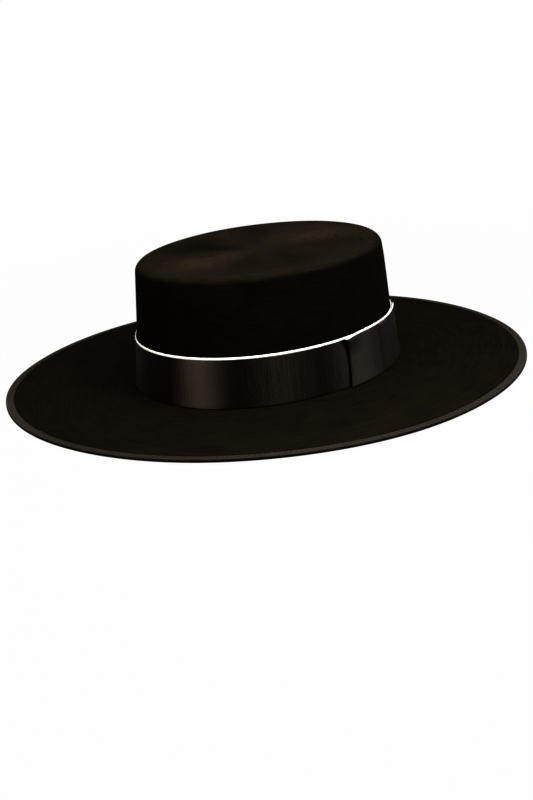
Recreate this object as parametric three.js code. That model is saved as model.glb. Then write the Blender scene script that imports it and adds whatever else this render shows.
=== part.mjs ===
// A felt hat with a flat-topped oval crown and a wide flat brim, trimmed with a ribbon band piped
// along its top, a flat ribbon bow on the wearer's left and a ribbon-bound brim edge.
// Millimetres, +Z up, front towards -Y, bow on +X. The origin lies under the middle of the crown,
// on the surface that the hat's bound brim rests on.
import * as THREE from 'three';
import { LoftGeometry } from 'three/addons/geometries/LoftGeometry.js';

// Crown, measured outside. The foot is where its side meets the brim, the top is where the side
// starts to round over into the flat tip.
const crownFootHalfWidth = 87;
const crownFootHalfLength = 104.3;
const crownTopHalfWidth = 80.8;
const crownTopHalfLength = 98.9;
const crownHeight = 84.7;
const shoulderRadius = 6;
const breakRadius = 0.8;

// Brim, from the crown's foot to the outside of its bound edge
const brimWidthAtSide = 91.5;
const brimWidthAtFront = 88.4;

// Felt, full and where it is pressed thin for the edge's ribbon
const feltWall = 2;
const pressedWall = 1;
const pressedSlope = 1;

// Ribbons, each laid with the same clearance over what it covers
const ribbonWall = 1;
const ribbonGap = 0.3;
const bindingWidth = 6.5;
const bindingRound = 0.8;
const bandWidth = 31.5;
const pipingWall = 1;
const pipingTall = 2;

// Bow: one flattened loop of ribbon under a short cross ribbon, set a little to the rear
const bowLength = 90;
const bowSetBack = 14;
const bowWidth = 32.5;
const cornerFlare = 3;
const knotLength = 14;
const knotCrown = 0.8;

// Heights of the felt above the floor, with the bound edge lying on it
const edgeMiddle = ribbonWall + ribbonGap + pressedWall / 2;
const edgeHeight = 2 * edgeMiddle;
const brimTop = edgeMiddle + feltWall / 2;
const wallHeight = crownHeight - shoulderRadius;

// How finely round forms are cut
const aroundSteps = 80;
const shoulderSteps = 4;
const breakSteps = 3;
const foldSteps = 4;
const bowSteps = 14;

// Shares of the flat tip, of the side's height and of the brim's width that get a ring of their own
const tipShares = [0, 0.35, 0.7, 1];
const sideShares = [0.75, 0.5, 0.25];
const brimShares = [0, 0.35, 0.7, 1];

// How far the bow's folded ends reach, by height: its corners stand out and its middle pulls in
const bowEnd = [
  { rise: 0, flare: 0.45 },
  { rise: 0.3, flare: 0.05 },
  { rise: 0.65, flare: 0 },
  { rise: 0.85, flare: 0.4 },
  { rise: 1, flare: 1 },
];

// The cross ribbon's bulge along its length
const knotBulge = [
  { along: -0.5, bulge: 0 },
  { along: -0.42, bulge: 0.7 },
  { along: -0.2, bulge: 1 },
  { along: 0.2, bulge: 1 },
  { along: 0.42, bulge: 0.7 },
  { along: 0.5, bulge: 0 },
];

// The corners of the piping's section, as shares out from its inner side and up from its lower side
const cordCorners = [
  { out: 0, rise: 0.25 },
  { out: 0.5, rise: 0 },
  { out: 1, rise: 0.25 },
  { out: 1, rise: 0.75 },
  { out: 0.5, rise: 1 },
  { out: 0, rise: 0.75 },
];

function cloth(name, color, roughness) {
  return new THREE.MeshStandardMaterial({ name, color, roughness, metalness: 0 });
}

const felt = cloth('felt', 0x1a1610, 0.95);
const grosgrain = cloth('grosgrain', 0x211d17, 0.6);
const piping = cloth('piping', 0xf2f0ea, 0.6);

// An oval ring at a level above the brim's top face, on the crown's side moved out by some amount
function onSide(level, out) {
  const share = level / wallHeight;
  return {
    halfWidth: THREE.MathUtils.lerp(crownFootHalfWidth, crownTopHalfWidth, share) + out,
    halfLength: THREE.MathUtils.lerp(crownFootHalfLength, crownTopHalfLength, share) + out,
    height: level,
  };
}

// An oval ring on the brim, measured inwards from the outside of its bound edge
function onBrim(inwards, height) {
  return {
    halfWidth: crownFootHalfWidth + brimWidthAtSide - inwards,
    halfLength: crownFootHalfLength + brimWidthAtFront - inwards,
    height,
  };
}

// A ring moved by a step outwards and a step upwards
function moved(ring, out, rise) {
  return { halfWidth: ring.halfWidth + out, halfLength: ring.halfLength + out, height: ring.height + rise };
}

// A profile of rings turned about the hat's axis, with each ring drawn out into its own oval
function turnedOval(rings) {
  const profile = rings.map((ring) => new THREE.Vector2(ring.halfWidth, ring.height));
  const geometry = new THREE.LatheGeometry(profile, aroundSteps);
  geometry.rotateX(Math.PI / 2);
  const position = geometry.getAttribute('position');
  for (let index = 0; index < position.count; index += 1) {
    const ring = rings[index % rings.length];
    if (ring.halfWidth > 0) {
      position.setY(index, (position.getY(index) * ring.halfLength) / ring.halfWidth);
    }
  }
  return geometry;
}

// A profile that closes on itself, for a ribbon or cord that runs right round the hat
function closedOval(rings) {
  return turnedOval([...rings, rings[0]]);
}

// One face of the crown from the middle of its tip down to the brim, at a depth inside the felt
function crownFace(depth) {
  const flatWidth = crownTopHalfWidth - shoulderRadius;
  const flatLength = crownTopHalfLength - shoulderRadius;
  const tip = tipShares.map((share) => ({
    halfWidth: flatWidth * share,
    halfLength: flatLength * share,
    height: crownHeight - depth,
  }));
  const shoulderCentre = onSide(wallHeight, -shoulderRadius);
  const shoulder = arcOfRings(shoulderCentre, shoulderRadius - depth, Math.PI / 2, 0, shoulderSteps);
  const side = sideShares.map((share) => onSide(wallHeight * share, -depth));
  const breakCentre = onSide(breakRadius, breakRadius);
  const foot = arcOfRings(breakCentre, breakRadius + depth, Math.PI, Math.PI * 1.5, breakSteps);
  return [...tip, ...shoulder.slice(1), ...side, ...foot];
}

// Rings on an arc round a centre ring, from one angle to another, with 0 outwards and a quarter up
function arcOfRings(centre, radius, from, to, steps) {
  const rings = [];
  for (let step = 0; step <= steps; step += 1) {
    const angle = THREE.MathUtils.lerp(from, to, step / steps);
    rings.push(moved(centre, radius * Math.cos(angle), radius * Math.sin(angle)));
  }
  return rings;
}

// One face of the brim from the crown's foot out to its edge. The side is 1 for the top, -1 below.
function brimFace(side) {
  const middle = edgeMiddle - brimTop;
  const full = middle + (side * feltWall) / 2;
  const pressed = middle + (side * pressedWall) / 2;
  const lap = bindingWidth + ribbonGap;
  const foot = onSide(0, breakRadius);
  const end = onBrim(lap + pressedSlope, full);
  const rings = brimShares.slice(1).map((share) => ({
    halfWidth: THREE.MathUtils.lerp(foot.halfWidth, end.halfWidth, share),
    halfLength: THREE.MathUtils.lerp(foot.halfLength, end.halfLength, share),
    height: full,
  }));
  return [...rings, onBrim(lap, pressed), onBrim(ribbonWall + ribbonGap, pressed)];
}

// Crown and brim in one felt, from the middle of its inside up round to the middle of its tip
function feltBody() {
  const inside = [...crownFace(feltWall), ...brimFace(-1)];
  const outside = [...crownFace(0), ...brimFace(1)].reverse();
  return turnedOval([...inside, ...outside]);
}

// The ribbon folded over the brim's edge, a channel whose two lips lie above and below the felt
function brimBinding() {
  return closedOval([
    onBrim(bindingWidth, 0),
    onBrim(bindingRound, 0),
    onBrim(0, bindingRound),
    onBrim(0, edgeHeight - bindingRound),
    onBrim(bindingRound, edgeHeight),
    onBrim(bindingWidth, edgeHeight),
    onBrim(bindingWidth, edgeHeight - ribbonWall),
    onBrim(ribbonWall, edgeHeight - ribbonWall),
    onBrim(ribbonWall, ribbonWall),
    onBrim(bindingWidth, ribbonWall),
  ]);
}

// The ribbon round the crown, standing on the turn into the brim
function hatBand() {
  return closedOval([
    onSide(breakRadius, ribbonGap),
    onSide(breakRadius, ribbonGap + ribbonWall),
    onSide(breakRadius + bandWidth, ribbonGap + ribbonWall),
    onSide(breakRadius + bandWidth, ribbonGap),
  ]);
}

// The cord along the band's upper edge
function bandPiping() {
  const level = breakRadius + bandWidth + ribbonGap;
  return closedOval(
    cordCorners.map(({ out, rise }) => onSide(level + pipingTall * rise, ribbonGap + pipingWall * out)),
  );
}

// A point on the wearer's left of the crown: a distance to the rear of the side's middle, measured
// along the oval's flat side, at a level above the brim and a step out from the felt
function besideCrown(distance, level, out) {
  const ring = onSide(level, out);
  const angle = distance / crownFootHalfLength;
  return new THREE.Vector3(ring.halfWidth * Math.cos(angle), ring.halfLength * Math.sin(angle), level);
}

// The bow's two layers, as steps out from the felt
const bowInner = ribbonGap + ribbonWall + ribbonGap;
const bowOuter = bowInner + 2 * ribbonWall + ribbonGap;

// The flattened loop: a strip of ribbon swept along the outer layer, round a fold and back. The
// path runs clockwise seen from above, so the strip's own rows go up its outer face first.
function bowLoop() {
  const layerMiddle = (bowInner + bowOuter) / 2;
  const foldRadius = (bowOuter - bowInner - ribbonWall) / 2;
  const straight = bowLength / 2 - foldRadius - ribbonWall / 2;
  const path = [];
  for (let step = 0; step <= bowSteps; step += 1) {
    path.push({ end: 1 - (2 * step) / bowSteps, turn: Math.PI / 2 });
  }
  for (let step = 1; step < foldSteps; step += 1) {
    path.push({ end: -1, turn: Math.PI / 2 + (Math.PI * step) / foldSteps });
  }
  for (let step = 0; step <= bowSteps; step += 1) {
    path.push({ end: (2 * step) / bowSteps - 1, turn: Math.PI * 1.5 });
  }
  for (let step = 1; step < foldSteps; step += 1) {
    path.push({ end: 1, turn: Math.PI * 1.5 + (Math.PI * step) / foldSteps });
  }
  path.push(path[0]);
  const stripAt = ({ end, turn }, { rise, flare }, offset) => {
    const reach = (straight + cornerFlare * flare) * end + (foldRadius + offset) * Math.cos(turn);
    const out = layerMiddle + (foldRadius + offset) * Math.sin(turn);
    return besideCrown(bowSetBack + reach, breakRadius + bowWidth * rise, out);
  };
  const sections = path.map((place) => [
    ...bowEnd.map((row) => stripAt(place, row, ribbonWall / 2)),
    ...bowEnd.map((row) => stripAt(place, row, -ribbonWall / 2)).reverse(),
  ]);
  return new LoftGeometry(sections);
}

// The cross ribbon over the middle of the loop, which covers its pinched middle below the piping
function bowKnot() {
  const inner = bowOuter + ribbonGap;
  const sections = knotBulge.map(({ along, bulge }) => {
    const distance = bowSetBack + along * knotLength;
    const outer = inner + ribbonWall + knotCrown * bulge;
    return [
      besideCrown(distance, breakRadius, inner),
      besideCrown(distance, breakRadius + bowWidth, inner),
      besideCrown(distance, breakRadius + bowWidth, outer),
      besideCrown(distance, breakRadius, outer),
    ];
  });
  return new LoftGeometry(sections, { capStart: true, capEnd: true });
}

// The cord along the upper edge of the loop's outer layer, from fold to fold
function bowPiping() {
  const level = breakRadius + bowWidth + ribbonGap;
  const inner = bowOuter - pipingWall;
  const reach = bowLength / 2 + cornerFlare;
  const sections = [];
  for (let step = 0; step <= bowSteps; step += 1) {
    const distance = bowSetBack + reach * ((2 * step) / bowSteps - 1);
    sections.push(
      cordCorners
        .map(({ out, rise }) => besideCrown(distance, level + pipingTall * rise, inner + pipingWall * out))
        .reverse(),
    );
  }
  return new LoftGeometry(sections, { capStart: true, capEnd: true });
}

function piece(name, geometry, material) {
  const mesh = new THREE.Mesh(geometry, material);
  mesh.name = name;
  return mesh;
}

// What is measured from the brim's top face hangs in a group at that height
const crownAndTrim = new THREE.Group();
crownAndTrim.position.z = brimTop;
crownAndTrim.add(piece('felt_body', feltBody(), felt));
crownAndTrim.add(piece('hat_band', hatBand(), grosgrain));
crownAndTrim.add(piece('band_piping', bandPiping(), piping));
crownAndTrim.add(piece('bow_loop', bowLoop(), grosgrain));
crownAndTrim.add(piece('bow_knot', bowKnot(), grosgrain));
crownAndTrim.add(piece('bow_piping', bowPiping(), piping));

const hat = new THREE.Group();
hat.add(crownAndTrim);
hat.add(piece('brim_binding', brimBinding(), grosgrain));

export default hat;
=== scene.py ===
import math

import bmesh
import bpy
import numpy as np
from mathutils import Matrix, Vector


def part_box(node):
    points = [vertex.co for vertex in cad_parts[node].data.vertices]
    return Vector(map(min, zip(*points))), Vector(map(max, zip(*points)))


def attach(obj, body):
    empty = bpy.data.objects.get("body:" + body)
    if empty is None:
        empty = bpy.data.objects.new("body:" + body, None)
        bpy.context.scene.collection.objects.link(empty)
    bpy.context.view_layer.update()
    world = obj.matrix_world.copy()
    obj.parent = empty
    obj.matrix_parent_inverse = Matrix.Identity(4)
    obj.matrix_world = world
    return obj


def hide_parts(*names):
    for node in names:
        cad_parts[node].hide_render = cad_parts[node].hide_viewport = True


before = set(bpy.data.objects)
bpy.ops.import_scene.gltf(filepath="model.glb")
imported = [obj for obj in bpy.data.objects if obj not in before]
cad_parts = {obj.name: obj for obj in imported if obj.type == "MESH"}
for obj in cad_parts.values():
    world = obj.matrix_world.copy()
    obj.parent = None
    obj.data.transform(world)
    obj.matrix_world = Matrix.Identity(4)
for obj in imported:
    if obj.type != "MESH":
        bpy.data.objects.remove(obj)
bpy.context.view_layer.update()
mm = 0.001
scene = bpy.context.scene
print("stage: frame loaded,", len(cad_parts), "solids")


# Shared helpers

def hexColor(code):   # sRGB hex to linear
    parts = [int(code[i:i + 2], 16) / 255 for i in (1, 3, 5)]
    linear = [p / 12.92 if p <= 0.04045 else ((p + 0.055) / 1.055) ** 2.4 for p in parts]
    return (*linear, 1.0)


def addNode(tree, kind, inputs=None, **settings):   # a node with its settings, values and links
    node = tree.nodes.new(kind)
    for key, value in settings.items():
        setattr(node, key, value)
    for key, value in (inputs or {}).items():
        for item in value if isinstance(value, list) else [value]:
            if isinstance(item, bpy.types.Node):
                tree.links.new(item.outputs[0], node.inputs[key])
            elif isinstance(item, bpy.types.NodeSocket):
                tree.links.new(item, node.inputs[key])
            else:
                node.inputs[key].default_value = item
    return node


def newTree(name, sockets):   # a geometry tree with its named inputs, given as (name, type, default)
    tree = bpy.data.node_groups.new(name, "GeometryNodeTree")
    tree.interface.new_socket("Geometry", in_out="INPUT", socket_type="NodeSocketGeometry")
    tree.interface.new_socket("Geometry", in_out="OUTPUT", socket_type="NodeSocketGeometry")
    for title, kind, default in sockets:
        socket = tree.interface.new_socket(title, in_out="INPUT", socket_type="NodeSocket" + kind)
        if default is not None:
            socket.default_value = default
    return tree, addNode(tree, "NodeGroupInput")


def runTree(name, tree, values, mesh=None):   # the tree's result as a plain mesh
    obj = bpy.data.objects.new(name, mesh or bpy.data.meshes.new(name + "Base"))
    scene.collection.objects.link(obj)
    modifier = obj.modifiers.new(tree.name, "NODES")
    modifier.node_group = tree
    for item in tree.interface.items_tree:
        if item.item_type == "SOCKET" and item.in_out == "INPUT" and item.name in values:
            modifier[item.identifier] = values[item.name]
    graph = bpy.context.evaluated_depsgraph_get()
    plain = bpy.data.meshes.new_from_object(
        obj.evaluated_get(graph), preserve_all_data_layers=True, depsgraph=graph)
    obj.modifiers.clear()
    obj.data = plain
    plain.name = name
    return obj


def readPoints(mesh):   # vertex places in millimetres
    flat = np.empty(len(mesh.vertices) * 3, np.float32)
    mesh.vertices.foreach_get("co", flat)
    return flat.reshape(-1, 3).astype(float) / mm


def writePoints(mesh, points):
    mesh.vertices.foreach_set("co", (points * mm).astype(np.float32).ravel())
    mesh.update()


def weld(mesh, distance=0.01):   # closes seams and poles
    work = bmesh.new()
    work.from_mesh(mesh)
    bmesh.ops.remove_doubles(work, verts=work.verts, dist=distance * mm)
    work.to_mesh(mesh)
    work.free()
    mesh.update()


def dress(piece, nodes):   # ties a finished piece to the frame
    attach(piece, "root")
    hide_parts(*nodes)


def smooth(share):   # 0 to 1 without corners
    share = np.clip(share, 0, 1)
    return share * share * (3 - 2 * share)


# The hat's shape, shared by every piece

hat = {
    "crownFoot": (87.0, 104.3),   # half width and half length where the side meets the brim
    "crownTop": (80.8, 98.9),     # where the side starts to round over
    "crownHeight": 84.7,          # above the brim's top face
    "shoulder": 6.0,
    "felt": 2.0,
    "edgeFelt": 1.4,              # pressed under the binding
    "edgeDrop": 0.06,             # its middle lies a little lower there
    "footRound": 0.8,
    "proud": 0.8,                 # how far the bound edge stands out past the solid's
    "brimLift": 0.9,              # the brim isn't quite flat: two opposite quarters stand up
    "liftAt": 75.0,               # degrees from +X
    "sink": 0.15,                 # the two other quarters lie a little low
    "ripple": 0.12,
}
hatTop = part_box("felt_body")[1].z / mm
brimTop = hatTop - hat["crownHeight"]
brimHalf = [v / mm + hat["proud"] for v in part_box("brim_binding")[1].xy]
sideHeight = hat["crownHeight"] - hat["shoulder"]


def crownOval(level, out):   # half sizes of the crown's side at a level above the brim
    share = level / sideHeight
    foot, top = hat["crownFoot"], hat["crownTop"]
    return [foot[i] + (top[i] - foot[i]) * share + out for i in (0, 1)]


def besideCrown(angle, level, out):
    halfWidth, halfLength = crownOval(level, out)
    x = halfWidth * np.cos(angle)
    y = halfLength * np.sin(angle)
    return np.stack([x, y, brimTop + level + 0 * angle], -1)


def brimLift(x, y):   # how far the brim stands up at a place, nothing at the crown
    angle = np.arctan2(y / brimHalf[1], x / brimHalf[0])
    reach = np.hypot(x / brimHalf[0], y / brimHalf[1])
    inner = hat["crownFoot"][0] / brimHalf[0]
    share = smooth((reach - inner) / (1 - inner) * 0.5) * 2
    swing = 0.5 + 0.5 * np.cos(2 * (angle - math.radians(hat["liftAt"])))
    ripple = np.sin(5 * angle + 0.7) + 0.6 * np.sin(8 * angle + 2.1)
    return share * (hat["brimLift"] * swing - hat["sink"] + hat["ripple"] * ripple)


def anglesByLength(halfWidth, halfLength):   # total length of an oval, and its angle at a run along it
    turn = np.linspace(0, 2 * np.pi, 8193)
    step = np.hypot(np.diff(halfWidth * np.cos(turn)), np.diff(halfLength * np.sin(turn)))
    run = np.concatenate([[0], np.cumsum(step)])
    return run[-1], lambda distance: np.interp(distance, run, turn)


# Trees

def buildRibbonTree():   # a flat ribbon along X with cross ribs, laid on the hat afterwards
    tree, given = newTree("grosgrain", [
        ("Length", "Float", 0.1), ("Width", "Float", 0.03), ("Thickness", "Float", 0.0004),
        ("Ribs", "Int", 80), ("Steps", "Int", 4), ("Rows", "Int", 12), ("Crowding", "Float", 1.0),
        ("Rib Height", "Float", 0.00015), ("Selvage", "Float", 0.001), ("Picot", "Float", 0.00015),
        ("Closed", "Bool", False), ("Material", "Material", None)])
    g = given.outputs
    columns = addNode(tree, "ShaderNodeMath", {
        0: g["Ribs"], 1: g["Steps"], 2: 1.0}, operation="MULTIPLY_ADD")
    grid = addNode(tree, "GeometryNodeMeshGrid", {
        "Size X": g["Length"], "Size Y": g["Width"], "Vertices X": columns, "Vertices Y": g["Rows"]})
    place = addNode(tree, "ShaderNodeSeparateXYZ", {0: addNode(tree, "GeometryNodeInputPosition")})
    run = addNode(tree, "ShaderNodeMath", {
        0: g["Length"], 1: 0.5, 2: place.outputs["X"]}, operation="MULTIPLY_ADD")
    half = addNode(tree, "ShaderNodeMath", {0: g["Width"], 1: 0.5}, operation="MULTIPLY")
    even = addNode(tree, "ShaderNodeMath", {0: place.outputs["Y"], 1: half}, operation="DIVIDE")
    turned = addNode(tree, "ShaderNodeMath", {0: even, 1: math.pi / 2}, operation="MULTIPLY")
    crowded = addNode(tree, "ShaderNodeMath", {0: turned}, operation="SINE")
    share = addNode(tree, "ShaderNodeMix", {"Factor": g["Crowding"], "A": even, "B": crowded})
    across = addNode(tree, "ShaderNodeMath", {0: share.outputs[0], 1: half}, operation="MULTIPLY")
    pitch = addNode(tree, "ShaderNodeMath", {0: g["Length"], 1: g["Ribs"]}, operation="DIVIDE")
    phase = addNode(tree, "ShaderNodeMath", {0: run, 1: pitch}, operation="DIVIDE")
    swing = addNode(tree, "ShaderNodeMath", {0: phase, 1: math.pi}, operation="MULTIPLY")
    sine = addNode(tree, "ShaderNodeMath", {0: swing}, operation="SINE")
    hump = addNode(tree, "ShaderNodeMath", {0: sine}, operation="ABSOLUTE")
    rib = addNode(tree, "ShaderNodeMath", {0: hump, 1: 0.7}, operation="POWER")
    aside = addNode(tree, "ShaderNodeMath", {0: across}, operation="ABSOLUTE")
    inset = addNode(tree, "ShaderNodeMath", {0: half, 1: aside}, operation="SUBTRACT")
    fade = addNode(tree, "ShaderNodeMapRange", {
        "Value": inset, "From Max": g["Selvage"]}, interpolation_type="SMOOTHSTEP")
    relief = addNode(tree, "ShaderNodeMath", {0: rib, 1: fade}, operation="MULTIPLY")
    rise = addNode(tree, "ShaderNodeMath", {0: relief, 1: g["Rib Height"]}, operation="MULTIPLY")
    edge = addNode(tree, "ShaderNodeMath", {0: 1.0, 1: fade}, operation="SUBTRACT")
    loops = addNode(tree, "ShaderNodeMath", {0: edge, 1: rib}, operation="MULTIPLY")
    side = addNode(tree, "ShaderNodeMath", {0: across}, operation="SIGN")
    picotSide = addNode(tree, "ShaderNodeMath", {0: side, 1: g["Picot"]}, operation="MULTIPLY")
    scallop = addNode(tree, "ShaderNodeMath", {
        0: loops, 1: picotSide, 2: across}, operation="MULTIPLY_ADD")
    fromEdge = addNode(tree, "ShaderNodeMath", {0: scallop, 1: half}, operation="ADD")
    moved = addNode(tree, "ShaderNodeCombineXYZ", {"X": run, "Y": fromEdge, "Z": rise})
    marked = addNode(tree, "GeometryNodeStoreNamedAttribute", {
        "Geometry": grid, "Name": "rib", "Value": relief}, data_type="FLOAT", domain="POINT")
    shaped = addNode(tree, "GeometryNodeSetPosition", {"Geometry": marked, "Position": moved})
    mapped = addNode(tree, "GeometryNodeStoreNamedAttribute", {
        "Geometry": shaped, "Name": "UVMap", "Value": addNode(tree, "GeometryNodeInputPosition")},
        data_type="FLOAT2", domain="CORNER")
    raised = addNode(tree, "GeometryNodeExtrudeMesh", {
        "Mesh": mapped, "Offset": (0.0, 0.0, 1.0), "Offset Scale": g["Thickness"], "Individual": False})
    back = addNode(tree, "GeometryNodeFlipFaces", {0: mapped})
    both = addNode(tree, "GeometryNodeJoinGeometry", {0: [raised, back]})
    whole = addNode(tree, "GeometryNodeMergeByDistance", {"Geometry": both, "Distance": 1e-6})
    normal = addNode(tree, "ShaderNodeSeparateXYZ", {0: addNode(tree, "GeometryNodeInputNormal")})
    facing = addNode(tree, "ShaderNodeMath", {0: normal.outputs["X"]}, operation="ABSOLUTE")
    isEnd = addNode(tree, "FunctionNodeCompare", {"A": facing, "B": 0.999}, operation="GREATER_THAN")
    dropped = addNode(tree, "FunctionNodeBooleanMath", {0: isEnd, 1: g["Closed"]}, operation="AND")
    open_ = addNode(tree, "GeometryNodeDeleteGeometry", {
        "Geometry": whole, "Selection": dropped}, domain="FACE")
    soft = addNode(tree, "GeometryNodeSetShadeSmooth", {0: open_})
    solid = addNode(tree, "GeometryNodeRealizeInstances", {0: soft})
    finished = addNode(tree, "GeometryNodeSetMaterial", {"Geometry": solid, "Material": g["Material"]})
    addNode(tree, "NodeGroupOutput", {0: finished})
    return tree


def buildShellTree():   # turns a profile of (half width, half length, height) round the hat
    tree, given = newTree("ovalShell", [
        ("Around", "Int", 320), ("Rings", "Int", 10), ("Material", "Material", None)])
    g = given.outputs
    columns = addNode(tree, "ShaderNodeMath", {0: g["Around"], 1: 1.0}, operation="ADD")
    grid = addNode(tree, "GeometryNodeMeshGrid", {
        "Size X": 1.0, "Size Y": 1.0, "Vertices X": columns, "Vertices Y": g["Rings"]})
    place = addNode(tree, "ShaderNodeSeparateXYZ", {0: addNode(tree, "GeometryNodeInputPosition")})
    turn = addNode(tree, "ShaderNodeMath", {0: place.outputs["X"], 1: 2 * math.pi}, operation="MULTIPLY")
    last = addNode(tree, "ShaderNodeMath", {0: g["Rings"], 1: 1.0}, operation="SUBTRACT")
    share = addNode(tree, "ShaderNodeMath", {0: place.outputs["Y"], 1: 0.5}, operation="ADD")
    row = addNode(tree, "ShaderNodeMath", {0: share, 1: last}, operation="MULTIPLY")
    index = addNode(tree, "FunctionNodeFloatToInt", {0: row}, rounding_mode="ROUND")
    ring = addNode(tree, "GeometryNodeSampleIndex", {
        "Geometry": g["Geometry"], "Value": addNode(tree, "GeometryNodeInputPosition"), "Index": index},
        data_type="FLOAT_VECTOR", domain="POINT")
    sizes = addNode(tree, "ShaderNodeSeparateXYZ", {0: ring})
    cosine = addNode(tree, "ShaderNodeMath", {0: turn}, operation="COSINE")
    sine = addNode(tree, "ShaderNodeMath", {0: turn}, operation="SINE")
    x = addNode(tree, "ShaderNodeMath", {0: sizes.outputs["X"], 1: cosine}, operation="MULTIPLY")
    y = addNode(tree, "ShaderNodeMath", {0: sizes.outputs["Y"], 1: sine}, operation="MULTIPLY")
    moved = addNode(tree, "ShaderNodeCombineXYZ", {"X": x, "Y": y, "Z": sizes.outputs["Z"]})
    shaped = addNode(tree, "GeometryNodeSetPosition", {"Geometry": grid, "Position": moved})
    whole = addNode(tree, "GeometryNodeMergeByDistance", {"Geometry": shaped, "Distance": 1e-6})
    soft = addNode(tree, "GeometryNodeSetShadeSmooth", {0: whole})
    solid = addNode(tree, "GeometryNodeRealizeInstances", {0: soft})
    finished = addNode(tree, "GeometryNodeSetMaterial", {"Geometry": solid, "Material": g["Material"]})
    addNode(tree, "NodeGroupOutput", {0: finished})
    return tree


def buildCordTree():   # a cord of oval section along a path
    tree, given = newTree("pipingCord", [
        ("Thickness", "Float", 0.001), ("Height", "Float", 0.002), ("Sides", "Int", 14),
        ("Material", "Material", None)])
    g = given.outputs
    path = addNode(tree, "GeometryNodeMeshToCurve", {0: g["Geometry"]})
    upright = addNode(tree, "GeometryNodeSetCurveNormal", {"Curve": path}, mode="Z_UP")
    ring = addNode(tree, "GeometryNodeCurvePrimitiveCircle", {"Resolution": g["Sides"], "Radius": 0.5})
    size = addNode(tree, "ShaderNodeCombineXYZ", {"X": g["Thickness"], "Y": g["Height"], "Z": 1.0})
    section = addNode(tree, "GeometryNodeTransform", {"Geometry": ring, "Scale": size})
    tube = addNode(tree, "GeometryNodeCurveToMesh", {
        "Curve": upright, "Profile Curve": section, "Fill Caps": True})
    soft = addNode(tree, "GeometryNodeSetShadeSmooth", {0: tube})
    solid = addNode(tree, "GeometryNodeRealizeInstances", {0: soft})
    finished = addNode(tree, "GeometryNodeSetMaterial", {"Geometry": solid, "Material": g["Material"]})
    addNode(tree, "NodeGroupOutput", {0: finished})
    return tree


def buildStitchTree():   # a straight row of stitches along X, laid on a ribbon afterwards
    tree, given = newTree("stitchRow", [
        ("Length", "Float", 0.1), ("Count", "Int", 30), ("Stitch", "Float", 0.002),
        ("Thread", "Float", 0.0003), ("Across", "Float", 0.001), ("Rise", "Float", 0.0004),
        ("Material", "Material", None)])
    g = given.outputs
    pitch = addNode(tree, "ShaderNodeMath", {0: g["Length"], 1: g["Count"]}, operation="DIVIDE")
    start = addNode(tree, "ShaderNodeMath", {0: pitch, 1: 0.5}, operation="MULTIPLY")
    first = addNode(tree, "ShaderNodeCombineXYZ", {"X": start, "Y": g["Across"], "Z": g["Rise"]})
    step = addNode(tree, "ShaderNodeCombineXYZ", {"X": pitch})
    line = addNode(tree, "GeometryNodeMeshLine", {
        "Count": g["Count"], "Start Location": first, "Offset": step}, mode="OFFSET")
    bead = addNode(tree, "GeometryNodeMeshUVSphere", {"Segments": 6, "Rings": 6, "Radius": 0.5})
    size = addNode(tree, "ShaderNodeCombineXYZ", {"X": g["Stitch"], "Y": g["Thread"], "Z": g["Thread"]})
    stitch = addNode(tree, "GeometryNodeTransform", {"Geometry": bead, "Scale": size})
    skew = addNode(tree, "FunctionNodeRandomValue", {
        "Min": (0.0, -0.03, 0.02), "Max": (0.0, 0.03, 0.14), "Seed": 7}, data_type="FLOAT_VECTOR")
    placed = addNode(tree, "GeometryNodeInstanceOnPoints", {
        "Points": line, "Instance": stitch, "Rotation": skew})
    solid = addNode(tree, "GeometryNodeRealizeInstances", {0: placed})
    soft = addNode(tree, "GeometryNodeSetShadeSmooth", {0: solid})
    finished = addNode(tree, "GeometryNodeSetMaterial", {"Geometry": soft, "Material": g["Material"]})
    addNode(tree, "NodeGroupOutput", {0: finished})
    return tree


ribbonTree = buildRibbonTree()
shellTree = buildShellTree()
cordTree = buildCordTree()
stitchTree = buildStitchTree()
print("stage: trees built")


# Materials

def newMaterial(name):
    material = bpy.data.materials.new(name)
    material.use_nodes = True
    tree = material.node_tree
    tree.nodes.clear()
    shader = addNode(tree, "ShaderNodeBsdfPrincipled")
    addNode(tree, "ShaderNodeOutputMaterial", {"Surface": shader})
    return material, tree, shader.inputs


woolFelt = {
    "deep": "#0f0c08",
    "light": "#1e1911",
    "sidePaintedShade": 0.27,   # painted shade: the crown's side is painted darker than the tip
    "nap": 1.5,          # width of a brushed streak
    "streak": 14.0,      # its length
    "fibre": 1.0,        # felted fibres, drawn coarser than the real hundredth so that they show
    "cloud": 24.0,       # uneven dye
    "bump": 0.4,
    "relief": 0.4,       # how deep the bump reads
    "creasePaintedLight": 0.5,       # painted highlight along the tip's creases and painted shade between them
    "brimPaintedShade": 0.74,   # painted shade: the brim is painted darker than the tip
    "brimTo": (5, 30),   # heights between which it turns into the crown's, behind the band
    "rough": (0.6, 0.75),
    "gloss": 0.002,      # next to none, the nap scatters the light
    "turn": 0.4,         # how far a highlight is drawn out across the nap
    "sheen": 0.01,
    "sheenRoughness": 0.5,
    "sheenTint": "#b8ac8c",
}


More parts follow.
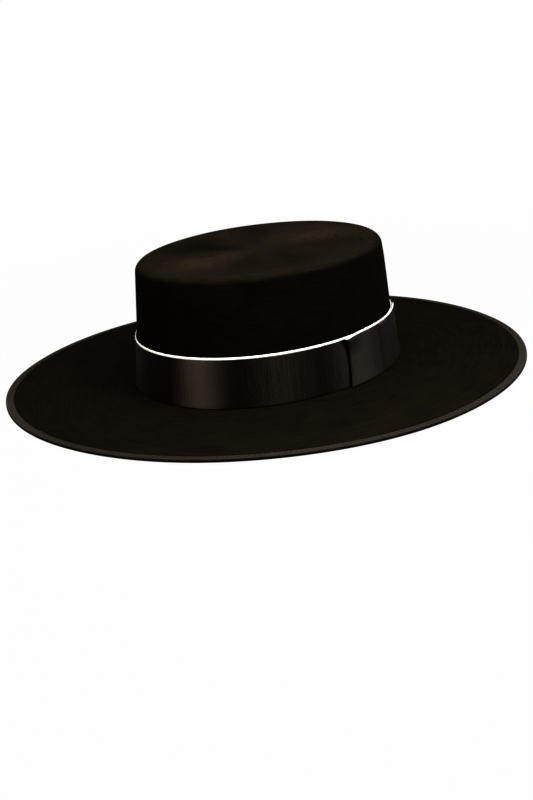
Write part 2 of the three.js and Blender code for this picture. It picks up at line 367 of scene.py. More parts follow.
def buildFelt():   # wool felt, brushed round the hat: matt near-black with a soft turned sheen, with painted shade on the crown's side and brim and painted highlights along the tip's creases
    material, tree, shader = newMaterial("woolFeltBrushed")
    foot = [v * mm for v in hat["crownFoot"]]
    toOval = (1 / foot[0], 1 / foot[1], 0)
    place = addNode(tree, "ShaderNodeTexCoord").outputs["Object"]
    flat = addNode(tree, "ShaderNodeVectorMath", {0: place, 1: toOval}, operation="MULTIPLY")
    reach = addNode(tree, "ShaderNodeVectorMath", {0: flat}, operation="LENGTH").outputs["Value"]
    slope = addNode(tree, "ShaderNodeVectorMath", {0: flat, 1: toOval}, operation="MULTIPLY")
    outward = addNode(tree, "ShaderNodeVectorMath", {0: slope}, operation="NORMALIZE")
    along = addNode(tree, "ShaderNodeVectorMath", {0: (0, 0, 1), 1: outward}, operation="CROSS_PRODUCT")
    height = addNode(tree, "ShaderNodeSeparateXYZ", {0: place}).outputs["Z"]
    radius = addNode(tree, "ShaderNodeMath", {0: reach, 1: foot[0]}, operation="MULTIPLY")
    down = addNode(tree, "ShaderNodeMath", {0: radius, 1: height}, operation="SUBTRACT")
    acrossNap = addNode(tree, "ShaderNodeMath", {
        0: down, 1: 1 / (woolFelt["nap"] * mm)}, operation="MULTIPLY")
    turns = 100 / woolFelt["streak"]
    run = addNode(tree, "ShaderNodeVectorMath", {0: outward, 1: (turns, turns, 0)}, operation="MULTIPLY")
    lift = addNode(tree, "ShaderNodeCombineXYZ", {"Z": acrossNap})
    napPlace = addNode(tree, "ShaderNodeVectorMath", {0: run, 1: lift}, operation="ADD")
    nap = addNode(tree, "ShaderNodeTexNoise", {"Vector": napPlace, "Scale": 1.0, "Detail": 3.0})
    fibre = addNode(tree, "ShaderNodeTexNoise", {
        "Vector": place, "Scale": 1 / (woolFelt["fibre"] * mm), "Detail": 4.0, "Roughness": 0.7})
    cloud = addNode(tree, "ShaderNodeTexNoise", {
        "Vector": place, "Scale": 1 / (woolFelt["cloud"] * mm), "Detail": 2.0})
    mixed = addNode(tree, "ShaderNodeMath", {
        0: cloud.outputs["Fac"], 1: 0.5, 2: nap.outputs["Fac"]}, operation="MULTIPLY_ADD")
    tone = addNode(tree, "ShaderNodeMath", {
        0: fibre.outputs["Fac"], 1: 0.8, 2: mixed}, operation="MULTIPLY_ADD")
    spread = addNode(tree, "ShaderNodeMapRange", {"Value": tone, "From Min": 0.85, "From Max": 1.45})
    deep, light = hexColor(woolFelt["deep"]), hexColor(woolFelt["light"])
    colour = addNode(tree, "ShaderNodeMix", {"Factor": spread, 6: deep, 7: light}, data_type="RGBA")
    surface = addNode(tree, "ShaderNodeNewGeometry")
    facing = addNode(tree, "ShaderNodeSeparateXYZ", {0: surface.outputs["Normal"]})
    level = addNode(tree, "ShaderNodeMath", {0: facing.outputs["Z"]}, operation="ABSOLUTE")
    # painted shade: steep faces, such as the crown's side, are painted darker
    shade = addNode(tree, "ShaderNodeMapRange", {
        "Value": level, "From Min": 0.3, "To Min": woolFelt["sidePaintedShade"]},
        interpolation_type="SMOOTHSTEP")
    crease = addNode(tree, "ShaderNodeAttribute", attribute_name="crease", attribute_type="GEOMETRY")
    # painted highlight on the tip's creases, painted shade in the hollows between them
    creasePaintedLight = addNode(tree, "ShaderNodeMath", {
        0: crease.outputs["Fac"], 1: woolFelt["creasePaintedLight"], 2: 1.0}, operation="MULTIPLY_ADD")
    brimEnd, crownStart = woolFelt["brimTo"]
    # painted shade: the base colour darkens from the crown down to the brim
    brimShadeRamp = addNode(tree, "ShaderNodeMapRange", {
        "Value": height, "From Min": brimEnd * mm, "From Max": crownStart * mm,
        "To Min": woolFelt["brimPaintedShade"]})
    paintedLight = addNode(tree, "ShaderNodeMath", {0: creasePaintedLight, 1: brimShadeRamp}, operation="MULTIPLY")
    depth = addNode(tree, "ShaderNodeMath", {0: shade, 1: paintedLight}, operation="MULTIPLY")
    shaded = addNode(tree, "ShaderNodeVectorMath", {
        0: colour.outputs[2], "Scale": depth}, operation="SCALE")
    tree.links.new(shaded.outputs[0], shader["Base Color"])
    smoothest, roughest = woolFelt["rough"]
    rough = addNode(tree, "ShaderNodeMapRange", {
        "Value": nap.outputs["Fac"], "To Min": smoothest, "To Max": roughest})
    tree.links.new(rough.outputs[0], shader["Roughness"])
    relief = addNode(tree, "ShaderNodeMath", {
        0: nap.outputs["Fac"], 1: 0.7, 2: fibre.outputs["Fac"]}, operation="MULTIPLY_ADD")
    bump = addNode(tree, "ShaderNodeBump", {
        "Height": relief, "Strength": woolFelt["bump"], "Distance": woolFelt["relief"] * mm})
    tree.links.new(bump.outputs[0], shader["Normal"])
    tree.links.new(along.outputs[0], shader["Tangent"])
    shader["Specular IOR Level"].default_value = woolFelt["gloss"]
    shader["Anisotropic"].default_value = woolFelt["turn"]
    shader["Sheen Weight"].default_value = woolFelt["sheen"]
    shader["Sheen Roughness"].default_value = woolFelt["sheenRoughness"]
    shader["Sheen Tint"].default_value = hexColor(woolFelt["sheenTint"])
    return material


grosgrain = {
    "warp": (3.0, 0.28),     # length and spacing of the silky threads that run along the ribbon
    "weft": (1.3, 30.0),     # ribs differ a little from one to the next
    "relief": 0.15,
    "bump": 0.35,
    "tint": "#ffe4c4",       # the shine has yellowed a little
    "turn": 0.8,             # the ribs spread a highlight across them
    # underShade: painted shade, how dark a ribbon is painted where it doesn't face up
    "band": {"deep": "#030202", "light": "#0b0907", "rough": 0.31, "gloss": 0.26, "underShade": 1.0},
    # painted light: the cross ribbon's colours are lighter than the band's ribbon of the same kind
    "cross": {"deep": "#060504", "light": "#15110d", "rough": 0.42, "gloss": 0.42, "underShade": 1.0},
    # painted light: the edge ribbon is painted lighter than the band's ribbon for its lit top face, with
    # painted shade below
    "edge": {"deep": "#0c0a08", "light": "#38332b", "rough": 0.5, "gloss": 0.03, "underShade": 0.08},
}


def buildGrosgrain(name, ribbon):   # ribbed rayon ribbon: silky ribs, with painted shade in the valleys between them
    material, tree, shader = newMaterial(name)
    uv = addNode(tree, "ShaderNodeTexCoord").outputs["UV"]
    rib = addNode(tree, "ShaderNodeAttribute", attribute_name="rib", attribute_type="GEOMETRY")
    warpScale, weftScale = [(*(1 / (v * mm) for v in grosgrain[key]), 0) for key in ("warp", "weft")]
    threads = addNode(tree, "ShaderNodeVectorMath", {0: uv, 1: warpScale}, operation="MULTIPLY")
    warp = addNode(tree, "ShaderNodeTexNoise", {"Vector": threads, "Scale": 1.0, "Detail": 2.0})
    picks = addNode(tree, "ShaderNodeVectorMath", {0: uv, 1: weftScale}, operation="MULTIPLY")
    weft = addNode(tree, "ShaderNodeTexNoise", {"Vector": picks, "Scale": 1.0, "Detail": 1.0})
    half = addNode(tree, "ShaderNodeMath", {
        0: weft.outputs["Fac"], 1: 0.8, 2: 0.1}, operation="MULTIPLY_ADD")
    # painted shade: the valleys between the ribs are darkened
    tone = addNode(tree, "ShaderNodeMath", {0: half, 1: rib.outputs["Fac"]}, operation="MULTIPLY")
    threadTone = addNode(tree, "ShaderNodeMath", {
        0: warp.outputs["Fac"], 1: 0.5, 2: tone}, operation="MULTIPLY_ADD", use_clamp=True)
    deep, light = hexColor(ribbon["deep"]), hexColor(ribbon["light"])
    colour = addNode(tree, "ShaderNodeMix", {"Factor": threadTone, 6: deep, 7: light}, data_type="RGBA")
    surface = addNode(tree, "ShaderNodeNewGeometry")
    facing = addNode(tree, "ShaderNodeSeparateXYZ", {0: surface.outputs["Normal"]})
    paintedLight = addNode(tree, "ShaderNodeMapRange", {   # painted shade: what doesn't face up is painted darker
        "Value": facing.outputs["Z"], "From Min": 0.5, "From Max": 1.0, "To Min": ribbon["underShade"]},
        interpolation_type="SMOOTHSTEP")
    shaded = addNode(tree, "ShaderNodeVectorMath", {
        0: colour.outputs[2], "Scale": paintedLight}, operation="SCALE")
    tree.links.new(shaded.outputs[0], shader["Base Color"])
    rough = addNode(tree, "ShaderNodeMapRange", {
        "Value": weft.outputs["Fac"], "To Min": ribbon["rough"] - 0.08, "To Max": ribbon["rough"] + 0.1})
    tree.links.new(rough.outputs[0], shader["Roughness"])
    bump = addNode(tree, "ShaderNodeBump", {
        "Height": warp.outputs["Fac"], "Strength": grosgrain["bump"],
        "Distance": grosgrain["relief"] * mm})
    tree.links.new(bump.outputs[0], shader["Normal"])
    tangent = addNode(tree, "ShaderNodeTangent", direction_type="UV_MAP", uv_map="UVMap")
    tree.links.new(tangent.outputs[0], shader["Tangent"])
    shader["Anisotropic"].default_value = grosgrain["turn"]
    shader["Anisotropic Rotation"].default_value = 0.25
    shader["Specular IOR Level"].default_value = ribbon["gloss"]
    shader["Specular Tint"].default_value = hexColor(grosgrain["tint"])
    return material


satin = {
    "deep": "#e6e3da",
    "light": "#fbfaf5",
    "weave": 0.45,
    "relief": 0.1,
    "bump": 0.3,
    "rough": (0.35, 0.55),
    "sheen": 0.1,
}


def buildSatin():   # white satin folded over a filler cord: smooth, with a fine weave
    material, tree, shader = newMaterial("satinPiping")
    place = addNode(tree, "ShaderNodeTexCoord").outputs["Object"]
    weave = addNode(tree, "ShaderNodeTexNoise", {
        "Vector": place, "Scale": 1 / (satin["weave"] * mm), "Detail": 3.0}).outputs["Fac"]
    colour = addNode(tree, "ShaderNodeMix", {
        "Factor": weave, 6: hexColor(satin["deep"]), 7: hexColor(satin["light"])}, data_type="RGBA")
    tree.links.new(colour.outputs[2], shader["Base Color"])
    smoothest, roughest = satin["rough"]
    rough = addNode(tree, "ShaderNodeMapRange", {
        "Value": weave, "To Min": smoothest, "To Max": roughest})
    tree.links.new(rough.outputs[0], shader["Roughness"])
    bump = addNode(tree, "ShaderNodeBump", {
        "Height": weave, "Strength": satin["bump"], "Distance": satin["relief"] * mm})
    tree.links.new(bump.outputs[0], shader["Normal"])
    shader["Sheen Weight"].default_value = satin["sheen"]
    return material


thread = {
    "deep": "#0d0b08",
    "light": "#1f1b15",
    "twist": 0.3,
    "rough": 0.45,
}


def buildThread():   # spun polyester sewing thread, a shade glossier than the ribbon
    material, tree, shader = newMaterial("sewingThread")
    place = addNode(tree, "ShaderNodeTexCoord").outputs["Object"]
    twist = addNode(tree, "ShaderNodeTexNoise", {
        "Vector": place, "Scale": 1 / (thread["twist"] * mm), "Detail": 2.0}).outputs["Fac"]
    colour = addNode(tree, "ShaderNodeMix", {
        "Factor": twist, 6: hexColor(thread["deep"]), 7: hexColor(thread["light"])}, data_type="RGBA")
    tree.links.new(colour.outputs[2], shader["Base Color"])
    shader["Roughness"].default_value = thread["rough"]
    return material


feltMaterial = buildFelt()
bandMaterial = buildGrosgrain("rayonGrosgrainBand", grosgrain["band"])
crossMaterial = buildGrosgrain("rayonGrosgrainCross", grosgrain["cross"])
edgeMaterial = buildGrosgrain("rayonGrosgrainEdge", grosgrain["edge"])
satinMaterial = buildSatin()
threadMaterial = buildThread()
print("stage: materials built")


# Felt body

body = {
    "around": 320,
    "rings": {
        "tip": 26, "shoulder": 14, "side": 22, "foot": 6, "brim": 30, "under": 24, "lap": 4, "edge": 8},
    "tipDish": 0.7,       # the flat tip is a little hollow
    "rearDrop": 0.7,      # and its rear edge a little lower
    "tipFan": 1.0,        # soft creases that fan out from its middle
    "tipRidge": -103.0,   # degrees from +X, where its highest crease runs to
    "tipRound": 8.0,      # the set of the tip fades out over this height of the shoulder
    "sideWave": 0.25,
}


def arc(centre, radius, start, stop, steps):   # rings on a round, with angles in degrees from outwards
    turns = np.radians(np.linspace(start, stop, steps + 1))
    spokes = [(radius * math.cos(t), radius * math.cos(t), radius * math.sin(t)) for t in turns]
    return [tuple(c + s for c, s in zip(centre, spoke)) for spoke in spokes]


def between(first, last, steps):   # rings on a straight stretch, its ends left to the neighbours
    return [tuple(a + (b - a) * i / steps for a, b in zip(first, last)) for i in range(1, steps)]


def crownFace(depth):   # rings from the middle of the tip down to the brim, inside the felt by a depth
    rings, shoulder, footRound = body["rings"], hat["shoulder"], hat["footRound"]
    centre = (*crownOval(sideHeight, -shoulder), brimTop + sideHeight)
    turn = arc(centre, shoulder - depth, 90, 0, rings["shoulder"])
    middle = (0, 0, turn[0][2])
    footCentre = (*crownOval(footRound, footRound), brimTop + footRound)
    foot = arc(footCentre, footRound + depth, 180, 270, rings["foot"])
    tip = [middle, *between(middle, turn[0], rings["tip"])]
    return [*tip, *turn, *between(turn[-1], foot[0], rings["side"]), *foot]


def feltProfile():
    rings = body["rings"]
    half = hat["edgeFelt"] / 2
    room = binding["thickness"] + binding["ease"] + 0.3   # between the felt's edge and the fold's
    lap = binding["lap"] + 0.8                            # the felt is full again just inside the ribbon
    topLap = (brimHalf[0] - lap, brimHalf[1] - lap, brimTop)
    lowLap = (topLap[0], topLap[1], brimTop - hat["felt"])
    pressed = [v - binding["lap"] + 0.2 for v in brimHalf]
    topPressed = (*pressed, edgeMiddle + half)
    lowPressed = (*pressed, edgeMiddle - half)
    edge = arc((*(v - room - half for v in brimHalf), edgeMiddle), half, 90, -90, rings["edge"])
    outside = crownFace(0)
    inside = crownFace(hat["felt"])
    top = [*outside, *between(outside[-1], topLap, rings["brim"]), topLap, topPressed]
    under = [*inside, *between(inside[-1], lowLap, rings["under"]), lowLap, lowPressed]
    top += between(topPressed, edge[0], rings["lap"])
    under += between(lowPressed, edge[-1], rings["lap"])
    return [*top, *edge, *reversed(under)]


def crownPlace(points):   # angle round the crown, reach over the tip (1 at its edge), share of the tip
    x, y, z = points.T
    angle = np.arctan2(y / hat["crownFoot"][1], x / hat["crownFoot"][0])
    reach = np.hypot(x / hat["crownTop"][0], y / hat["crownTop"][1])
    onTip = smooth((z - brimTop - sideHeight + body["tipRound"]) / body["tipRound"])
    return angle, reach, onTip


def tipCreases(points):   # -1 in a hollow of the tip to 1 and more on a crease
    angle, reach, onTip = crownPlace(points)
    turned = angle - math.radians(body["tipRidge"])
    fan = np.cos(2 * turned + 0.5 * np.sin(turned)) + 0.45 * np.cos(4 * turned + 0.5)
    fan += 0.3 * np.sin(7 * turned + 2 * reach)
    return fan * onTip * smooth(reach * 2.1) * (1 - smooth((reach - 0.6) / 0.42))


def settleFelt(points):   # the small departures from a perfect block
    x, y, z = points.T
    angle, reach, onTip = crownPlace(points)
    dish = (1 - smooth(reach)) * body["tipDish"]
    rearward = y / hat["crownTop"][1] * 0.9 - x / hat["crownTop"][0] * 0.4
    drop = body["rearDrop"] * smooth(0.5 + 0.5 * rearward)
    onSide = smooth((z - brimTop) / 20) * (1 - onTip)
    wave = np.sin(3 * angle + 0.5) + 0.5 * np.sin(7 * angle + z / 18)
    bulge = body["sideWave"] * wave * onSide
    moved = points.copy()
    moved[:, 2] += tipCreases(points) * body["tipFan"] - onTip * (dish + drop) + brimLift(x, y)
    moved[:, 0] += bulge * np.cos(angle)
    moved[:, 1] += bulge * np.sin(angle)
    return moved


binding = {
    "lap": 5.9,           # how far the ribbon reaches in over the brim
    "thickness": 0.34,
    "ribHeight": 0.08,
    "ribPitch": 1.5,      # the real ribbon has about 1 mm, drawn coarser so that it shows
    "ease": 0.06,         # between felt and ribbon
    "rows": 18,
    "steps": 3,           # faces to a rib
    "stitchPitch": 3.2,
    "stitchInset": 1.1,
    "stitchShare": 0.72,  # of the pitch that the thread shows
    "stitchThread": 0.34,
}
ribbonEdge = {
    "selvage": 0.9,       # the ribs run out over this width
    "picot": 0.12,        # and stand past it in small loops
}
edgeMiddle = brimTop - hat["felt"] / 2 - hat["edgeDrop"]

profile = feltProfile()
base = bpy.data.meshes.new("profile")
base.from_pydata([Vector(ring) * mm for ring in profile], [], [])
feltHat = runTree("feltHat", shellTree, {
    "Around": body["around"], "Rings": len(profile), "Material": feltMaterial}, base)
creases = tipCreases(readPoints(feltHat.data)).astype(np.float32)
feltHat.data.attributes.new("crease", "FLOAT", "POINT").data.foreach_set("value", creases)
writePoints(feltHat.data, settleFelt(readPoints(feltHat.data)))
weld(feltHat.data, 0.001)
print("stage: felt body,", len(feltHat.data.polygons), "faces")


# Ribbon-bound edge

def foldPath():   # the binding's section, from the lower lip's edge out, up round the fold and in again
    radius = hat["edgeFelt"] / 2 + binding["ease"]
    centre = binding["thickness"] + binding["ribHeight"] + radius
    low = [(binding["lap"], edgeMiddle - radius), (centre, edgeMiddle - radius)]
    turn = np.radians(np.linspace(-90, 90, 19))[1:-1]
    fold = [(centre - radius * math.cos(t), edgeMiddle + radius * math.sin(t)) for t in turn]
    high = [(centre, edgeMiddle + radius), (binding["lap"], edgeMiddle + radius)]
    return np.array(low + fold + high)


def pathReader(path):   # total length of an open path, and its place and direction at a run along it
    step = np.diff(path, axis=0)
    run = np.concatenate([[0], np.cumsum(np.hypot(step[:, 0], step[:, 1]))])
    grade = np.gradient(path, run, axis=0)
    size = np.hypot(grade[:, 0], grade[:, 1])

    def read(distance):
        place = np.stack([np.interp(distance, run, path[:, i]) for i in (0, 1)], -1)
        tangent = np.stack([np.interp(distance, run, grade[:, i] / size) for i in (0, 1)], -1)
        return place, tangent / np.hypot(tangent[..., 0], tangent[..., 1])[..., None]
    return run[-1], read


def layRibbon(name, length, width, spec, place, closed, material, crowding=1.0):
    ribs = round(length / spec["ribPitch"])
    piece = runTree(name, ribbonTree, {
        "Length": length * mm, "Width": width * mm, "Thickness": spec["thickness"] * mm, "Ribs": ribs,
        "Steps": spec["steps"], "Rows": spec["rows"], "Crowding": crowding,
        "Rib Height": spec["ribHeight"] * mm, "Selvage": ribbonEdge["selvage"] * mm,
        "Picot": ribbonEdge["picot"] * mm, "Closed": closed, "Material": material})
    run, across, rise = readPoints(piece.data).T
    writePoints(piece.data, place(run, across, rise))
    if closed:
        weld(piece.data)
    return piece


def layStitches(name, length, across, rise, place):
    pitch = binding["stitchPitch"]
    piece = runTree(name, stitchTree, {
        "Length": length * mm, "Count": round(length / pitch),
        "Stitch": pitch * binding["stitchShare"] * mm, "Thread": binding["stitchThread"] * mm,
        "Across": across * mm, "Rise": rise * mm, "Material": threadMaterial})
    points = readPoints(piece.data)
    writePoints(piece.data, place(*points.T))
    return piece


foldLength, foldAt = pathReader(foldPath())
brimLength, brimAngle = anglesByLength(*brimHalf)


def onEdge(run, across, rise):
    place, tangent = foldAt(across)
    inset = place[:, 0] - tangent[:, 1] * rise
    height = place[:, 1] + tangent[:, 0] * rise
    angle = brimAngle(run)
    x = (brimHalf[0] - inset) * np.cos(angle)
    y = (brimHalf[1] - inset) * np.sin(angle)
    return np.stack([x, y, height + brimLift(x, y)], -1)


edgeRibbon = layRibbon("edgeRibbon", brimLength, foldLength, binding, onEdge, True, edgeMaterial, 0.35)
stitchRise = binding["thickness"] + binding["ribHeight"] * 0.6
lowInset, topInset = binding["stitchInset"], foldLength - binding["stitchInset"]
topStitches = layStitches("edgeStitchesTop", brimLength, topInset, stitchRise, onEdge)
lowStitches = layStitches("edgeStitchesUnder", brimLength, lowInset, stitchRise, onEdge)
print("stage: bound edge,", len(edgeRibbon.data.polygons), "faces")


# Hat band

band = {
    "foot": 0.8,
    "width": 31.8,
    "thickness": 0.45,
    "ribHeight": 0.06,
    "ribPitch": 1.3,      # as on the edge, a little coarser than real
    "steps": 4,
    "rows": 16,
    "out": 0.15,
    "flare": 0.35,        # its lower edge stands off the felt
    "pull": 0.12,         # and its middle follows the felt unevenly
}
bandLength, bandAngle = anglesByLength(*crownOval(band["foot"] + band["width"] / 2, band["out"]))


def onBand(run, across, rise):
    angle = bandAngle(run)
    share = across / band["width"]
    ease = band["flare"] * (1 - share) ** 3 * (0.7 + 0.3 * np.sin(4 * angle + 1))
    pull = band["pull"] * (1 + np.sin(3 * angle + 0.4) * np.sin(np.pi * share))
    return besideCrown(angle, band["foot"] + across, band["out"] + rise + ease + pull)


bandRibbon = layRibbon("bandRibbon", bandLength, band["width"], band, onBand, True, bandMaterial)
print("stage: band,", len(bandRibbon.data.polygons), "faces")


# Bow

bow = {
    "length": 90.0,
    "setBack": 14.0,      # its middle behind the middle of the side
    "foot": 0.8,
    "width": 33.0,
    "thickness": 0.45,
    "ribHeight": 0.06,
    "ribPitch": 1.3,
    "steps": 4,
    "rows": 18,
    "inner": 1.45,        # steps out from the felt: inner layer, pinched middle, puffed front, flat rear
    "pinched": 1.75,
    "front": 1.9,
    "rear": 1.7,
    "cornerFlare": 3.0,
    "cornerLift": 1.5,
    "hemFlare": 0.65,     # its lower edge stands off like the band's
}
bowEnd = [   # how far the folded ends reach, by height
    {"rise": 0.0, "flare": 0.45},
    {"rise": 0.3, "flare": 0.05},
    {"rise": 0.65, "flare": 0.0},
    {"rise": 0.85, "flare": 0.4},
    {"rise": 1.0, "flare": 1.0},
]


def bowPath():   # the closed loop seen from above: distance from its middle, and step out from the felt
    half, inner = bow["length"] / 2, bow["inner"]
    frontRound, rearRound = (bow["front"] - inner) / 2, (bow["rear"] - inner) / 2
    frontReach = half - frontRound - bow["thickness"]
    rearReach = half - rearRound - bow["thickness"]
    far = np.linspace(-frontReach, rearReach, 61)
    puffed = np.where(far < 0, bow["front"], bow["rear"])
    outer = bow["pinched"] + (puffed - bow["pinched"]) * smooth((np.abs(far) / half - 0.25) / 0.65)
    turn = np.radians(np.linspace(90, -90, 15))[1:-1]
    rear = [(rearReach + rearRound * math.cos(t), inner + rearRound * (1 + math.sin(t))) for t in turn]
    front = [(-frontReach - frontRound * math.cos(t), inner + frontRound * (1 - math.sin(t)))
             for t in turn]
    back = [(d, inner) for d in far[::-1]]
    path = [*zip(far, outer), *rear, *back, *front]
    start = len(far) + len(rear) + len(far) // 2   # the seam is in the middle of the hidden inner layer
    return np.array(path[start:] + path[:start + 1])


def bowHem(share):   # how far the bow stands off by height
    return bow["hemFlare"] * (1 - np.clip(share, 0, 1)) ** 3


loopLength, loopAt = pathReader(bowPath())


def onLoop(run, across, rise):
    place, tangent = loopAt(run)
    distance = place[:, 0] + tangent[:, 1] * rise
    out = place[:, 1] + tangent[:, 0] * rise
    share = across / bow["width"]
    flare = np.interp(share, [row["rise"] for row in bowEnd], [row["flare"] for row in bowEnd])
    distance = distance * (1 + flare * bow["cornerFlare"] / (bow["length"] / 2))
    end = smooth((-distance / (bow["length"] / 2) - 0.6) / 0.4)
    outer = smooth((place[:, 1] - bow["inner"]) / (bow["front"] - bow["inner"]))
    out = out + bowHem(share) + end * outer * bow["cornerLift"] * smooth((share - 0.65) / 0.35)
    angle = (bow["setBack"] + distance) / hat["crownFoot"][1]
    return besideCrown(angle, bow["foot"] + across, out)


bowRibbon = layRibbon("bowRibbon", loopLength, bow["width"], bow, onLoop, True, bandMaterial)
print("stage: bow,", len(bowRibbon.data.polygons), "faces")


# Cross ribbon over the bow's middle

knot = {
    "width": 14.0,
    "thickness": 0.25,
    "ribHeight": 0.06,
    "ribPitch": 1.3,
    "steps": 4,
    "rows": 14,
    "ease": 0.1,          # over the bow's ribs
    "tuck": 1.0,          # its ends turn in behind the bow
    "crown": 0.05,
    "sideTuck": 0.25,     # its long edges are drawn in a little
}


def knotPath():   # (step out, level) from below the bow up its face and in at the top
    low, high = bow["foot"] + 0.1, bow["foot"] + bow["width"] - 0.3
    levels = np.linspace(low, high, 25)
    share = (levels - low) / (high - low)
    bowFace = bow["pinched"] + bow["thickness"] + bow["ribHeight"] + bowHem(share)
    face = bowFace + knot["ease"] + knot["crown"] * np.sin(np.pi * share) ** 0.5
    lowEnd = (face[0] - knot["tuck"], low - 0.4)
    highEnd = (face[-1] - knot["tuck"], high + 0.4)
    return np.array([lowEnd, *zip(face, levels), highEnd])


knotLength, knotAt = pathReader(knotPath())


def onKnot(run, across, rise):
    place, tangent = knotAt(run)
    out = place[:, 0] + tangent[:, 1] * rise
    level = place[:, 1] - tangent[:, 0] * rise
    off = across - knot["width"] / 2
    out = out - knot["sideTuck"] * (np.abs(off) / (knot["width"] / 2)) ** 4
    angle = (bow["setBack"] - off) / hat["crownFoot"][1]
    return besideCrown(angle, level, out)


knotRibbon = layRibbon("knotRibbon", knotLength, knot["width"], knot, onKnot, False, crossMaterial)
print("stage: cross ribbon,", len(knotRibbon.data.polygons), "faces")


# Piping

piping = {
    "height": 1.62,
    "thickness": 0.9,
    "gap": 0.1,
    "endDip": 0.9,        # the bow's cord sinks into its corners, over the last millimetres
    "endRun": 9.0,
}


def layCord(name, points, closed):
    base = bpy.data.meshes.new(name + "Path")
    count = len(points)
    edges = [(i, (i + 1) % count) for i in range(count if closed else count - 1)]
    base.from_pydata([Vector(p) * mm for p in points], edges, [])
    return runTree(name, cordTree, {
        "Thickness": piping["thickness"] * mm, "Height": piping["height"] * mm,
        "Material": satinMaterial}, base)


cordHalf = piping["height"] / 2
turns = np.linspace(0, 2 * np.pi, 361)[:-1]
cordLevel = band["foot"] + band["width"] + piping["gap"] + cordHalf
bandCord = layCord("bandCord", besideCrown(turns, cordLevel, band["out"] + band["thickness"]), True)

# The bow's cord follows its outer layer, with its ends tucked in
runs = np.linspace(0, loopLength, 481)
runs = runs[loopAt(runs)[0][:, 1] > bow["inner"] + 0.05]
flat = np.zeros_like(runs)
ends = smooth(np.minimum(runs - runs[0], runs[-1] - runs) / piping["endRun"])
cordPoints = onLoop(runs, flat + bow["width"], flat + bow["thickness"] / 2)
cordPoints[:, 2] += piping["gap"] + cordHalf - piping["endDip"] * (1 - ends)
bowCord = layCord("bowCord", cordPoints, False)
print("stage: piping")


# Tie every piece to the frame

dress(feltHat, ["felt_body"])
dress(edgeRibbon, ["brim_binding"])
dress(bandRibbon, ["hat_band"])
dress(bowRibbon, ["bow_loop"])
dress(knotRibbon, ["bow_knot"])
dress(bandCord, ["band_piping"])
dress(bowCord, ["bow_piping"])
for stitches in (topStitches, lowStitches):
    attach(stitches, "root")


# Floor, light and camera

studio = {
    "floor": "#6e6c68",
    "ambient": 0.08,
    "paperGlow": 0.985,   # the sweep is burnt out to the camera, and plain pale paper to the hat
    "floorHalf": 30.0,    # metres
    "aimHeight": 42.8,
    "lights": {   # degrees round from the camera (+ to its right) and up, metres off and wide, watts
        "keyBox": (28, 38, 0.42, 0.24, 2.9),
        "topBox": (0, 88, 0.24, 0.18, 0.7),
        "leftBox": (-47, 14, 1.2, 0.66, 14.5),
        "frontBox": (30, 20, 1.2, 0.6, 1.5),
        "sideBox": (92, 14, 1.2, 0.66, 8.4),
        "rearBox": (180, 50, 1.2, 0.6, 2),
        "rearSideBox": (138, 14, 1.2, 0.6, 2),
        "leftRimBox": (-142, 18, 1.2, 0.4, 1.8),
    },
}
camera = {
    "azimuth": 33.0,
    "elevation": 14.42,
    "roll": -4.46,
    "distance": 942.9,
    "lens": 60.02,
    "photoSize": (533, 800),
    "aimPixel": (264.6, 308.2),   # where the aim point lies in the photo
}


def around(azimuth, elevation):   # a direction seen from the hat
    a, e = math.radians(azimuth), math.radians(elevation)
    return Vector((math.sin(a) * math.cos(e), -math.cos(a) * math.cos(e), math.sin(e)))


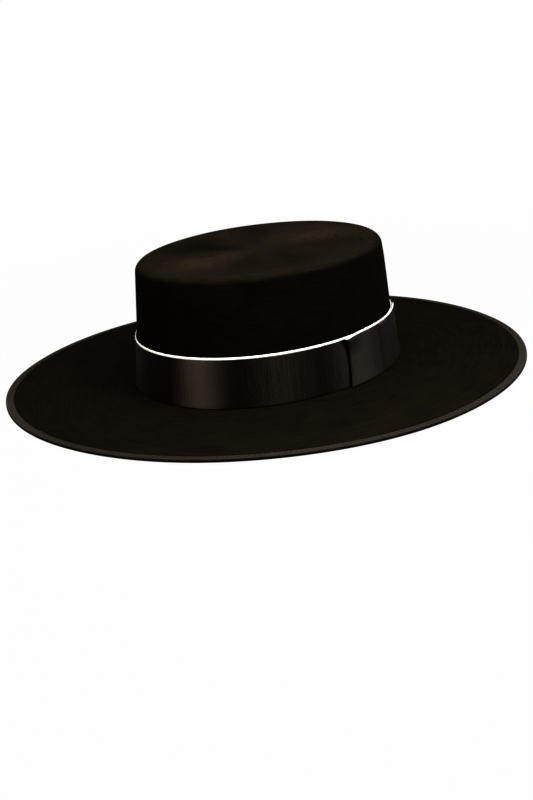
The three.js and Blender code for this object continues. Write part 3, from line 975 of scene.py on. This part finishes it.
def addFloor():
    mesh = bpy.data.meshes.new("floor")
    half = studio["floorHalf"]
    corners = [(-half, -half, 0), (half, -half, 0), (half, half, 0), (-half, half, 0)]
    mesh.from_pydata(corners, [], [(0, 1, 2, 3)])
    floor = bpy.data.objects.new("floor", mesh)
    scene.collection.objects.link(floor)
    material, tree, shader = newMaterial("paperSweep")
    place = addNode(tree, "ShaderNodeTexCoord").outputs["Object"]
    grain = addNode(tree, "ShaderNodeTexNoise", {"Vector": place, "Scale": 400.0, "Detail": 2.0})
    tone = addNode(tree, "ShaderNodeMapRange", {
        "Value": grain.outputs["Fac"], "To Min": 0.97, "To Max": 1.0})
    paper = hexColor(studio["floor"])[:3]
    colour = addNode(tree, "ShaderNodeVectorMath", {0: paper, 1: tone}, operation="MULTIPLY")
    tree.links.new(colour.outputs[0], shader["Base Color"])
    shader["Roughness"].default_value = 0.9
    far = addNode(tree, "ShaderNodeVectorMath", {0: place}, operation="LENGTH")
    fade = addNode(tree, "ShaderNodeMapRange", {
        "Value": far.outputs["Value"], "From Min": 0.3, "From Max": 1.1, "To Min": studio["paperGlow"]},
        interpolation_type="SMOOTHSTEP")
    seen = addNode(tree, "ShaderNodeLightPath").outputs["Is Camera Ray"]
    share = addNode(tree, "ShaderNodeMath", {0: fade, 1: seen}, operation="MULTIPLY")
    glow = addNode(tree, "ShaderNodeEmission", {"Color": (1, 1, 1, 1), "Strength": 1.0})
    surface = tree.nodes["Principled BSDF"]
    mixed = addNode(tree, "ShaderNodeMixShader", {0: share, 1: surface, 2: glow})
    tree.links.new(mixed.outputs[0], tree.nodes["Material Output"].inputs["Surface"])
    mesh.materials.append(material)
    floor.visible_glossy = False   # a black hat would otherwise mirror the white sweep


def addWorld():
    world = bpy.data.worlds.new("studioWorld")
    world.use_nodes = True
    tree = world.node_tree
    tree.nodes.clear()
    seen = addNode(tree, "ShaderNodeLightPath").outputs["Is Camera Ray"]
    dim = addNode(tree, "ShaderNodeBackground", {"Color": (1, 1, 1, 1), "Strength": studio["ambient"]})
    white = addNode(tree, "ShaderNodeBackground", {"Color": (1, 1, 1, 1), "Strength": 1.0})
    both = addNode(tree, "ShaderNodeMixShader", {0: seen, 1: dim, 2: white})
    addNode(tree, "ShaderNodeOutputWorld", {"Surface": both})
    scene.world = world


def addLights():
    aim = Vector((0, 0, studio["aimHeight"] * mm))
    for name, (turn, up, distance, wide, watts) in studio["lights"].items():
        light = bpy.data.lights.new(name, "AREA")
        light.size = wide
        light.energy = watts
        lamp = bpy.data.objects.new(name, light)
        direction = around(camera["azimuth"] + turn, up)
        lamp.location = aim + direction * distance
        lamp.rotation_mode = "QUATERNION"
        lamp.rotation_quaternion = direction.to_track_quat("Z", "Y")
        lamp.visible_camera = False
        scene.collection.objects.link(lamp)


def addCamera():
    data = bpy.data.cameras.new("photoCamera")
    data.lens = camera["lens"]
    width, height = camera["photoSize"]
    data.shift_x = (width / 2 - camera["aimPixel"][0]) / height
    data.shift_y = (camera["aimPixel"][1] - height / 2) / height
    viewer = bpy.data.objects.new("photoCamera", data)
    back = around(camera["azimuth"], camera["elevation"])
    right = Vector((0, 0, 1)).cross(back).normalized()
    up = back.cross(right)
    roll = Matrix.Rotation(math.radians(camera["roll"]), 3, "Z")
    viewer.matrix_world = (Matrix((right, up, back)).transposed() @ roll).to_4x4()
    viewer.location = Vector((0, 0, studio["aimHeight"] * mm)) + back * camera["distance"] * mm
    scene.collection.objects.link(viewer)
    scene.camera = viewer


addFloor()
addWorld()
addLights()
addCamera()
scene.view_settings.view_transform = "Standard"
scene.view_settings.gamma = 0.75   # a photographer's contrast, with the whites just burnt out
print("stage: studio set")
